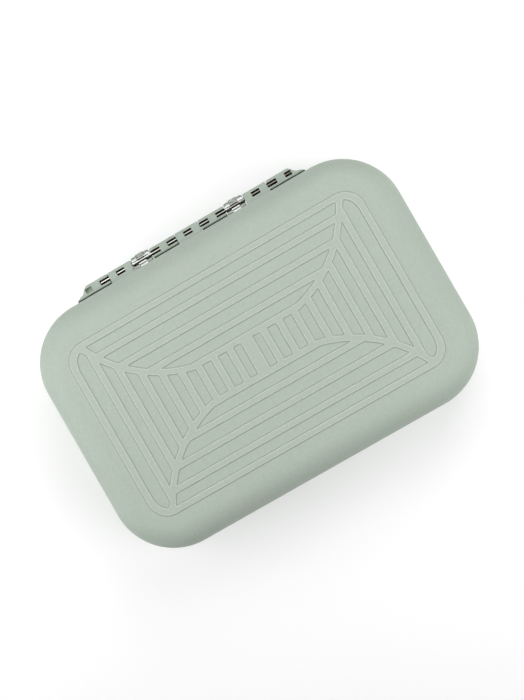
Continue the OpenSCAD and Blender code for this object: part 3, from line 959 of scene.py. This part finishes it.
def boss(x, low, high, web_drop):
    """Magnet boss from its foot at low to its face at high, with the cap's pocket and a web to the wall."""
    height = high - low
    seat = height - CAP_T - POCKET_SPARE
    profile = [(0, 0), (BOSS_R - BOSS_EDGE, 0), (BOSS_R, BOSS_EDGE),
               (BOSS_R, height - BOSS_EDGE), (BOSS_R - BOSS_EDGE, height),
               (CAP_POCKET_R + POCKET_EDGE, height), (CAP_POCKET_R, height - POCKET_EDGE),
               (CAP_POCKET_R, seat), (0, seat)]
    wall_y = -(INNER_W + WALL) / 2 - MAGNET_Y
    front = -CAP_R - 0.5
    plan = [(-BOSS_R, wall_y), (BOSS_R, wall_y), (BOSS_R, front), (-BOSS_R, front)]
    web = slab(plan, 0, height - web_drop, BOSS_WEB_EDGE)
    return turned(lathed(profile) + web, Matrix.Translation((x, MAGNET_Y, low)))


def lid_knuckle(x):
    """Lid knuckle with one opening above the pin and two below it."""
    side_l = (LID_KNUCKLE_W - LID_WINDOW_L) / 2
    cuts = window(x + side_l, LID_WINDOW_L, 1)
    cuts += window(x - OVERLAP, side_l - WINDOW_LAND + OVERLAP, -1)
    cuts += window(x + LID_KNUCKLE_W - side_l + WINDOW_LAND, side_l + OVERLAP, -1)
    part = combined(knuckle(x, LID_KNUCKLE_W, 1), mesh_object("cuts", cuts), "DIFFERENCE")
    return bored(part, x - OVERLAP, LID_KNUCKLE_W + 2 * OVERLAP)


def lid_shell(material):
    """Lid: relief crown, three knuckles, two magnet bosses."""
    lift = Matrix.Translation((0, 0, RIM_Z))
    lid = mesh_object("lid_shell_skin", turned(shell_faces(LID_H, lid_rim(), relief_crown), lift))
    lid = combined(lid, notch_cutters(RIM_Z - OVERLAP, RIM_Z + LEAF_T / 2 + NOTCH_CLEARANCE), "DIFFERENCE")
    for x in (-LID_X - LID_KNUCKLE_W, -LID_KNUCKLE_W / 2, LID_X):
        lid = combined(lid, lid_knuckle(x), "UNION")
    for x in (-MAGNET_X, MAGNET_X):
        faces = turned_over(boss(x, -BOSS_H, 0, LID_WEB_DROP), RIM_Z)
        lid = combined(lid, mesh_object("boss", faces), "UNION")
    return piece(smoothed(lid), "lid", "shell", material, "lid_shell")


def inner_knuckle():
    """Base knuckle beside the middle one: open above the pin at both ends and below it between them."""
    cuts = window(BASE_X - OVERLAP, WINDOW_L + OVERLAP, 1)
    cuts += window(BASE_X + BASE_KNUCKLE_W - WINDOW_L, WINDOW_L + OVERLAP, 1)
    cuts += window(BASE_X + WINDOW_L + WINDOW_LAND, BASE_KNUCKLE_W - 2 * (WINDOW_L + WINDOW_LAND), -1)
    return combined(knuckle(BASE_X, BASE_KNUCKLE_W, -1), mesh_object("cuts", cuts), "DIFFERENCE")


def end_knuckle():
    """Outermost base knuckle with its ear: open above the pin twice and below it between them."""
    solid = combined(knuckle(END_X, END_KNUCKLE_W, -1), ear(EAR_X), "UNION")
    cuts = window(END_X - OVERLAP, WINDOW_L + OVERLAP, 1) + window(END_WINDOW_X, END_WINDOW_L, 1)
    cuts += window(END_X + WINDOW_L + WINDOW_LAND, END_WINDOW_X - END_X - WINDOW_L - 2 * WINDOW_LAND, -1)
    return combined(solid, mesh_object("cuts", cuts), "DIFFERENCE")


def ledge(x):
    """Ledge on the front wall that the leaf lies on."""
    left, right = x - LEDGE_W / 2, x + LEDGE_W / 2
    front, rear = -(INNER_W + WALL) / 2, LEDGE_REACH - INNER_W / 2
    outline = with_round_corners([(left, front), (right, front), (right, rear), (left, rear)], LEDGE_CORNER)
    low, high = LEAF_BOTTOM - LEDGE_H, LEAF_BOTTOM - LEDGE_CLEARANCE
    return mesh_object("ledge", slab(outline, low, high, LEDGE_EDGE))


def base_shell(material):
    """Base: plain crown below, lip round the rim, four knuckles with two ears, bosses and ledges."""
    base = mesh_object("base_shell_skin", turned_over(shell_faces(BASE_H, base_rim(), filled), RIM_Z))
    base = combined(base, notch_cutters(LEAF_BOTTOM - NOTCH_CLEARANCE, RIM_Z + NOTCH_RISE), "DIFFERENCE")
    blind_end = PIN_BOX[0][0] - BLIND_GAP
    for part in (inner_knuckle(), end_knuckle()):
        for obj in (mirror_copy(part), part):
            base = combined(base, bored(obj, blind_end, EAR_X + EAR_L - blind_end), "UNION")
    for x in (-MAGNET_X, MAGNET_X):
        base = combined(base, mesh_object("boss", boss(x, RIM_Z - BOSS_H, RIM_Z, BASE_WEB_DROP)), "UNION")
    for x in (-LEDGE_X, LEDGE_X):
        base = combined(base, ledge(x), "UNION")
    return piece(smoothed(base), "base", "shell", material, "base_shell")


# ---- Hinge pin, leaf, mats and magnets ----

def hinge_pin(material):
    """Steel rod with rounded ends."""
    soft = 0.2
    bulge = 0.06
    end = [(0, 0), (PIN_R - soft, 0), (PIN_R - bulge, bulge), (PIN_R, soft)]
    rod = lathed(both_ends(end, PIN_BOX[1][0] - PIN_BOX[0][0]))
    pin = mesh_object("hinge_pin_rod", turned(rod, to_hinge(PIN_BOX[0][0])))
    return piece(smoothed(pin), "base", "pin_steel", material, "hinge_pin")


def leaf_outline():
    """The leaf seen from above, with its finger notch and the cut-outs round the bosses."""
    front = LEAF_GAP - INNER_W / 2
    notch_r = BOSS_R + BOSS_GAP
    left, right = [[(x - notch_r, front)] + arc(x, MAGNET_Y, notch_r, 180, 0, NOTCH_STEPS)
                   + [(x + notch_r, front)] for x in (-MAGNET_X, MAGNET_X)]
    reach = math.degrees(math.acos((FINGER_R - FINGER_DEPTH) / FINGER_R))
    finger = arc(0, front - FINGER_R + FINGER_DEPTH, FINGER_R, 90 + reach, 90 - reach, NOTCH_STEPS)
    return with_round_corners(case_ring(WALL + LEAF_GAP) + left + finger + right, LEAF_CORNER, 25)


def nose_profile():
    """A clear knuckle as (radius, place along it): round ends, and a fuller middle between the arms."""
    end = [(NOSE_END_R - NOSE_ROUND + x, NOSE_ROUND + z) for x, z in arc(0, 0, NOSE_ROUND, -90, 0, 8)]
    step = [(NOSE_END_R, LEAF_ARM_W - NOSE_STEP), (LEAF_KNUCKLE_R, LEAF_ARM_W + NOSE_STEP)]
    return both_ends([(0, 0)] + end + step, LEAF_KNUCKLE_W)


def leaf_knuckle(x):
    """Two arms with an outer nose each and a web between them, bored for the pin."""
    far = x + LEAF_KNUCKLE_W
    left, right = x + LEAF_ARM_W, far - LEAF_ARM_W
    start_y, web_y = INNER_W / 2 - LEAF_GAP - OVERLAP, HINGE_Y - WEB_END
    strap = [(x, start_y), (far, start_y), (far, HINGE_Y), (right, HINGE_Y),
             (right, web_y), (left, web_y), (left, HINGE_Y), (x, HINGE_Y)]
    arms = mesh_object("arms", slab(strap, LEAF_BOTTOM, LEAF_BOTTOM + LEAF_T, STRAP_EDGE))
    barrel = mesh_object("barrel", turned(lathed(nose_profile()), to_hinge(x)))
    reach = 2 * LEAF_KNUCKLE_R
    gap = box_faces((left, HINGE_Y - reach, RIM_Z - reach), (right, HINGE_Y + WINDOW_W / 2, RIM_Z + reach))
    barrel = combined(barrel, mesh_object("gap", gap), "DIFFERENCE")
    arms = combined(arms, barrel, "UNION")
    return bored(arms, x - OVERLAP, LEAF_KNUCKLE_W + 2 * OVERLAP)


def swing_leaf(material):
    """Clear leaf with two knuckles."""
    leaf = mesh_object("swing_leaf_clear", slab(leaf_outline(), LEAF_BOTTOM, LEAF_BOTTOM + LEAF_T, LEAF_EDGE))
    for x in (-LEAF_X - LEAF_KNUCKLE_W, LEAF_X):
        leaf = combined(leaf, leaf_knuckle(x), "UNION")
    return piece(smoothed(leaf), "leaf", "clear_leaf", material, "swing_leaf")


def ridge_outline():
    """Section of a ridge with a slit along its top, its foot sunk into the sheet."""
    side = RIDGE_W / 2
    slit = SLIT_W / 2
    soft = 0.9
    right = [(side + 0.35, -0.4), (side + 0.35, 0.0), (side + 0.08, 0.12), (side, 0.4)]
    right += arc(side - soft, RIDGE_H - soft, soft, 0, 90, 5)
    right += [(slit + 0.25, RIDGE_H), (slit + 0.05, RIDGE_H - 0.2)]
    right += [(slit, RIDGE_H - 0.5), (slit, RIDGE_H * 0.2)]
    return right + [(-y, z) for y, z in reversed(right)]


def mat_half_length(y, half_x, half_y):
    """Half of the mat's length at y, where its corners are round."""
    beyond = max(0.0, abs(y) - (half_y - MAT_CORNER_R))
    return half_x - MAT_CORNER_R + math.sqrt(max(0.0, MAT_CORNER_R ** 2 - beyond ** 2))


def slit_mat(node, body, material, up):
    """Silicone mat: a sheet with slit ridges that end short of its round corners."""
    low, high = in_mm(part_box(node))
    half_x, half_y = (high[0] - low[0]) / 2, (high[1] - low[1]) / 2
    faces = slab(rounded_rect(half_x, half_y, MAT_CORNER_R), 0, MAT_SHEET_T, MAT_EDGE)
    count = int((2 * half_y - RIDGE_W) / RIDGE_PITCH / 2)
    for i in range(-count, count + 1):
        y = i * RIDGE_PITCH
        reach = mat_half_length(abs(y) + RIDGE_W / 2, half_x, half_y) - RIDGE_INSET
        faces += turned(slab(ridge_outline(), -reach, reach, RIDGE_EDGE), along_x(0, y, MAT_SHEET_T))
    faces = turned(faces, Matrix.Translation((0, 0, low[2]))) if up else turned_over(faces, high[2])
    return piece(smoothed(mesh_object(node + "_silicone", faces)), body, "mat", material, node)


def magnet_caps(node, body, material):
    """Thin moulded caps with a rounded rim."""
    low, high = in_mm(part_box(node))
    cap = lathed(both_ends([(0, 0), (CAP_R - CAP_EDGE, 0), (CAP_R, CAP_EDGE)], high[2] - low[2]))
    faces = []
    for x in (-MAGNET_X, MAGNET_X):
        faces += turned(cap, Matrix.Translation((x, MAGNET_Y, low[2])))
    return piece(smoothed(mesh_object(node + "_moulded", faces)), body, "cap", material, node)


def carried_over(node, material):
    """A CAD node whose shape is right gets only its material."""
    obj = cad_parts[node]
    obj.data.materials.clear()
    obj.data.materials.append(material)


# ---- Stage, light and camera ----

CAMERA_TARGET = (2.975, 0.666, 36)
CAMERA_DISTANCE = 400
CAMERA_TILT_X = 3.14
CAMERA_TILT_Y = -0.48
CAMERA_ROLL = 29.95
NEAREST = 10
FOCAL_PIXELS = 1032
IMAGE_WIDTH = 524
SENSOR = 36


def camera():
    """The photograph's view: almost straight down, turned about the view axis."""
    tilt = [math.sin(math.radians(angle)) for angle in (CAMERA_TILT_X, CAMERA_TILT_Y)]
    lean = Vector((*tilt, 1)).normalized()
    roll = math.radians(CAMERA_ROLL)
    up_hint = Vector((math.sin(roll), math.cos(roll), 0))
    right = up_hint.cross(lean).normalized()
    up = lean.cross(right)
    data = bpy.data.cameras.new("camera")
    data.sensor_fit = "HORIZONTAL"
    data.sensor_width = SENSOR
    data.lens = SENSOR * FOCAL_PIXELS / IMAGE_WIDTH
    data.clip_start = NEAREST * MM
    obj = bpy.data.objects.new("camera", data)
    bpy.context.scene.collection.objects.link(obj)
    turn = Matrix((right, up, lean)).transposed()
    place = (Vector(CAMERA_TARGET) + lean * CAMERA_DISTANCE) * MM
    obj.matrix_world = Matrix.Translation(place) @ turn.to_4x4()
    bpy.context.scene.camera = obj


WHITE = (1, 1, 1, 1)
TABLE_SHADE = (0.86, 0.86, 0.86, 1)
TABLE_WHITE = (0.88, 0.88, 0.88, 1)
TABLE_HALF = 3000
FLOOR_LIFT = 0.27
NEAR_FLOOR = 180
FAR_FLOOR = 420


def seen_directly(nodes, links):
    """1 for a ray from the camera, or one that gloss or clear plastic sends on."""
    rays = nodes.new("ShaderNodeLightPath")
    seen = rays.outputs["Is Camera Ray"]
    for ray in ("Is Glossy Ray", "Is Transmission Ray"):
        either = nodes.new("ShaderNodeMath")
        either.operation = "MAXIMUM"
        links.new(seen, either.inputs[0])
        links.new(rays.outputs[ray], either.inputs[1])
        seen = either.outputs[0]
    return seen


def floor():
    """Plain white table. It keeps the shadow near the case and is even white further out."""
    half = TABLE_HALF
    obj = mesh_object("floor", [[(-half, -half, 0), (half, -half, 0), (half, half, 0), (-half, half, 0)]])
    m = Nodes("table_white")
    m.finish(m.blend(m.noise(scale=8), TABLE_SHADE, TABLE_WHITE), roughness=0.9)
    glow = m.add("ShaderNodeEmission", {"Color": WHITE, "Strength": FLOOR_LIFT}).outputs[0]
    white = m.add("ShaderNodeEmission", {"Color": WHITE, "Strength": 1.0}).outputs[0]
    lit = m.add("ShaderNodeAddShader", {0: m.shader.outputs[0], 1: glow}).outputs[0]
    away = m.add("ShaderNodeVectorMath", {0: m.place}, operation="LENGTH").outputs["Value"]
    far = m.ramp(away, NEAR_FLOOR, FAR_FLOOR)
    shown = m.add("ShaderNodeMixShader", {0: far, 1: lit, 2: white}).outputs[0]
    seen = seen_directly(m.tree.nodes, m.tree.links)
    choice = m.add("ShaderNodeMixShader", {0: seen, 1: m.shader.outputs[0], 2: shown}).outputs[0]
    m.tree.links.new(choice, m.tree.nodes["Material Output"].inputs["Surface"])
    obj.data.materials.append(m.material)


SOFT_BOXES = (
    # name, place, size across and along, watts
    ("high", (0, 0, 800), (600, 600), 0.989),
    ("rear_right", (180, 250, 330), (300, 300), 0.772),
    ("front_right", (400, -400, 400), (400, 400), 1.051),
    ("left", (-600, 0, 350), (400, 400), 0.34),
    ("low_left", (-600, 0, 150), (400, 250), 0.711),
    ("near_rear_left", (-170, 150, 230), (180, 180), 0.134),
    ("near_left", (-230, 60, 200), (200, 200), 0.196),
    ("near_front_right", (170, -150, 230), (180, 180), 0.161),
    ("near_right", (330, -40, 180), (250, 200), 0.116),
)


def soft_boxes():
    """Large area lights that face the case."""
    for name, place, size, power in SOFT_BOXES:
        data = bpy.data.lights.new(name, "AREA")
        data.shape = "RECTANGLE"
        data.size, data.size_y = size[0] * MM, size[1] * MM
        data.energy = power
        obj = bpy.data.objects.new(name, data)
        bpy.context.scene.collection.objects.link(obj)
        obj.location = Vector(place) * MM
        direction = Vector((0, 0, RIM_Z * MM)) - obj.location
        obj.rotation_euler = direction.to_track_quat("-Z", "Y").to_euler()


WORLD_LIGHT = 0.03


def world_light():
    """White surroundings to the eye, in gloss and through clear plastic; they add little light."""
    world = bpy.data.worlds.new("studio")
    world.use_nodes = True
    tree = world.node_tree
    background = tree.nodes["Background"]
    background.inputs["Color"].default_value = WHITE
    strength = tree.nodes.new("ShaderNodeMapRange")
    strength.inputs["To Min"].default_value = WORLD_LIGHT
    tree.links.new(seen_directly(tree.nodes, tree.links), strength.inputs["Value"])
    tree.links.new(strength.outputs["Result"], background.inputs["Strength"])
    bpy.context.scene.world = world


def main():
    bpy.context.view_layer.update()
    sage = shell_plastic()
    clear, steel, rubber = clear_plastic(), drawn_steel(), silicone()
    film, plated = adhesive_film(), nickel()
    lid_shell(sage)
    base_shell(sage)
    hinge_pin(steel)
    swing_leaf(clear)
    slit_mat("base_mat", "base", rubber, True)
    slit_mat("leaf_upper_mat", "leaf", rubber, True)
    slit_mat("lid_mat", "lid", rubber, False)
    slit_mat("leaf_lower_mat", "leaf", rubber, False)
    magnet_caps("base_magnet_caps", "base", sage)
    magnet_caps("lid_magnet_caps", "lid", sage)
    for node in ("base_mat_film", "lid_mat_film", "leaf_upper_film", "leaf_lower_film"):
        carried_over(node, film)
    for node in ("base_magnets", "lid_magnets"):
        carried_over(node, plated)
    floor()
    camera()
    world_light()
    soft_boxes()
    bpy.context.scene.view_settings.view_transform = "Standard"


main()
